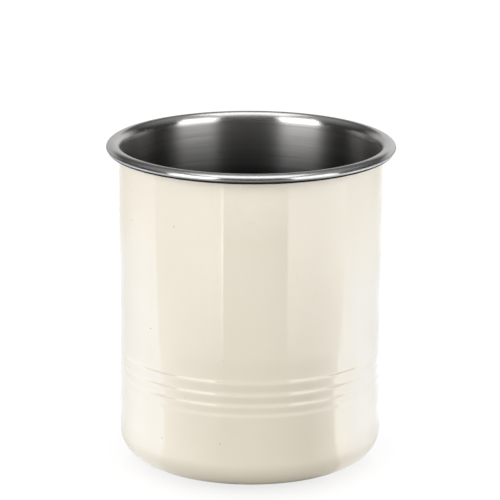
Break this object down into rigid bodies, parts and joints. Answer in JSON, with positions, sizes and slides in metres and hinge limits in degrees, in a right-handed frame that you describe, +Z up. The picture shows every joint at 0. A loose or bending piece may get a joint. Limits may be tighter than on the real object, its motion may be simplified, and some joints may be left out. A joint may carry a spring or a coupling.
{
  "type": "cutlery holder",
  "caption": "Round steel cutlery pot: painted ribbed jacket, bare steel liner with an outward curled rim, and a thin base pad.",
  "frame": {"origin": "on the pot's axis, at the level of the surface that it stands on", "axes": "+Z up along the axis, out of the mouth; the pot is turned, so +X and +Y are alike"},
  "size_m": [0.126, 0.126, 0.142],
  "materials": {
    "cream_paint": "high-gloss stoved cream paint",
    "brushed_stainless": "bare stainless, brushed round the axis inside, polished over the rim",
    "pad_rubber": "matt black, finely moulded"
  },
  "bodies": {
    "root": {"outer_jacket": "cream_paint", "inner_liner": "brushed_stainless", "base_pad": "pad_rubber"}
  },
  "joints": []
}
